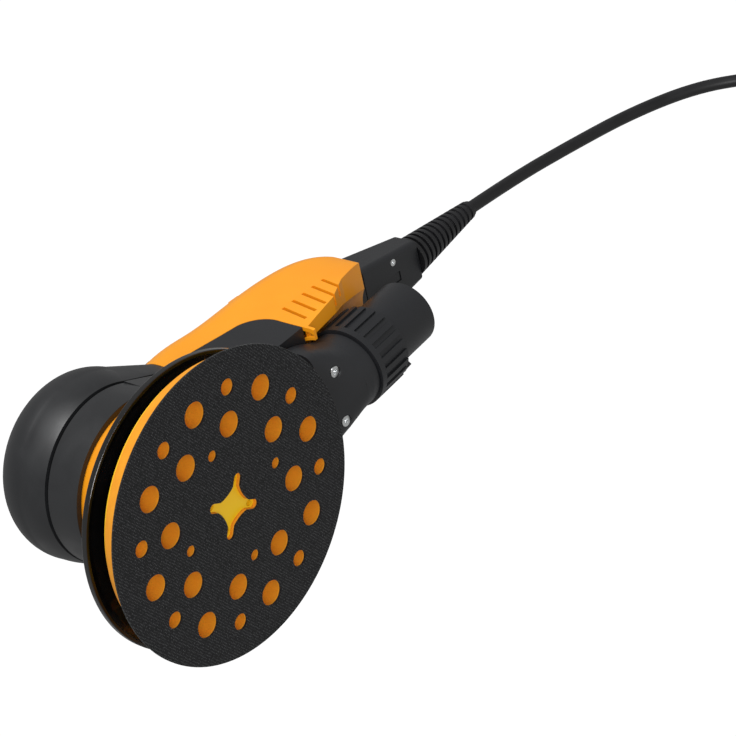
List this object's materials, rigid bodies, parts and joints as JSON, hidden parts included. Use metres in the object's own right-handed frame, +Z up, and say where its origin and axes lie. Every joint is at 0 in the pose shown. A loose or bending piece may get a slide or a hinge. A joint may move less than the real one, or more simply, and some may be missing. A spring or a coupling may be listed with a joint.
{
  "type": "random orbital sander",
  "caption": "Compact random-orbital sander: round pad with dust holes, drum-shaped motor head, paddle-lever handle, swivelling dust outlet and a detachable mains lead with plug.",
  "frame": {"origin": "where the motor axis meets the sanding plane (the hook face of the pad)", "axes": "+Z up along the motor axis from the pad to the head's top, +X from the head along the handle to the mains lead"},
  "size_m": [0.8218, 0.1689, 0.1165],
  "materials": {
    "hook_fabric": "woven hook fabric",
    "orange_foam": "moulded polyurethane foam",
    "orange_plastic": "satin moulded",
    "yellow_plastic": "moulded glass-filled nylon",
    "satin_black": "fine textured moulding",
    "grip_rubber": "soft-touch overmould",
    "gloss_black": "glossy elastomer",
    "seal_rubber": "matt elastomer",
    "steel": "turned and ground",
    "zinc_screw": "bright zinc plated",
    "aluminium": "die cast",
    "copper": "enamelled winding",
    "core_steel": "laminated",
    "magnet": "nickel plated",
    "board": "solder mask",
    "capacitor_sleeve": "shrink sleeve",
    "button_rubber": "moulded key",
    "power_key": "moulded key",
    "lamp": "clear lens",
    "cord_black": "extruded sheath",
    "brass_pin": "plated pin"
  },
  "bodies": {
    "housing": {"stator_core": "core_steel", "stator_windings": "copper", "sensor_board": "board", "bearing_bridge": "aluminium", "upper_bearing": "steel", "lower_bearing": "steel", "bridge_screws": "zinc_screw", "main_housing": "orange_plastic", "dust_shroud": "gloss_black", "brake_seal": "seal_rubber", "head_grip": "grip_rubber", "cap_ring": "satin_black", "head_cap": "grip_rubber", "cap_screws": "zinc_screw", "handle_shell_left": "orange_plastic", "handle_shell_right": "orange_plastic", "handle_belly": "satin_black", "shell_screws": "zinc_screw", "end_collar": "satin_black", "dust_duct": "satin_black", "duct_cover": "satin_black", "duct_screws": "zinc_screw", "lever_pin": "steel", "lever_spring": "steel", "button_panel": "satin_black", "status_lamp": "lamp", "button_board": "board", "micro_switch": "satin_black", "control_board": "board", "capacitors": "capacitor_sleeve", "heat_sink": "aluminium", "mains_socket": "satin_black", "socket_contacts": "brass_pin", "connector_block": "satin_black", "connector_screw": "zinc_screw", "strain_relief": "cord_black", "cord_lead": "cord_black", "cord_coil": "cord_black", "cord_tail": "cord_black", "plug_body": "cord_black", "plug_pins": "brass_pin"},
    "rotor": {"pad_bearing": "steel", "eccentric_hub": "aluminium", "counterweight": "steel", "dust_fan": "satin_black", "motor_shaft": "steel", "rotor_core": "core_steel", "rotor_magnets": "magnet"},
    "pad": {"pad_hook_face": "hook_fabric", "pad_foam": "orange_foam", "pad_backplate": "yellow_plastic", "pad_stud": "steel", "pad_spindle": "steel"},
    "lever": {"paddle_lever": "satin_black"},
    "power_key": {"power_button": "power_key"},
    "speed_up_key": {"speed_up_button": "button_rubber"},
    "speed_down_key": {"speed_down_button": "button_rubber"},
    "hose_end": {"hose_spigot": "satin_black", "hose_collar": "satin_black"},
    "latch": {"latch": "satin_black"}
  },
  "joints": [
    {"name": "rotor_spin", "type": "hinge", "parent": "housing", "child": "rotor", "pos_m": [0, 0, 0.04], "axis": [0, 0, 1], "continuous": true},
    {"name": "pad_spin", "type": "hinge", "parent": "rotor", "child": "pad", "pos_m": [0.00135, -0.00211, 0.02], "axis": [0, 0, 1], "continuous": true},
    {"name": "lever_press", "type": "hinge", "parent": "housing", "child": "lever", "pos_m": [0.12436, 0, 0.10701], "axis": [0, -1, 0], "range_deg": [0, 3], "stiffness_Nm_per_rad": 3, "springref_deg": -3.44, "deforming": ["lever_spring"]},
    {"name": "power_press", "type": "slide", "parent": "housing", "child": "power_key", "axis": [0, 0, -1], "range_m": [0, 0.0008], "stiffness_N_per_m": 900, "springref_m": -0.0012},
    {"name": "speed_up_press", "type": "slide", "parent": "housing", "child": "speed_up_key", "axis": [0, 0, -1], "range_m": [0, 0.0008], "stiffness_N_per_m": 900, "springref_m": -0.0012},
    {"name": "speed_down_press", "type": "slide", "parent": "housing", "child": "speed_down_key", "axis": [0, 0, -1], "range_m": [0, 0.0008], "stiffness_N_per_m": 900, "springref_m": -0.0012},
    {"name": "hose_swivel", "type": "hinge", "parent": "housing", "child": "hose_end", "pos_m": [0.11676, 0, 0.03221], "axis": [0.9938, 0, 0.1115], "continuous": true},
    {"name": "latch_flex", "type": "hinge", "parent": "housing", "child": "latch", "pos_m": [0.19966, 0, 0.06681], "axis": [0, 1, 0], "range_deg": [0, 6], "stiffness_Nm_per_rad": 0.4, "springref_deg": -2.86}
  ]
}
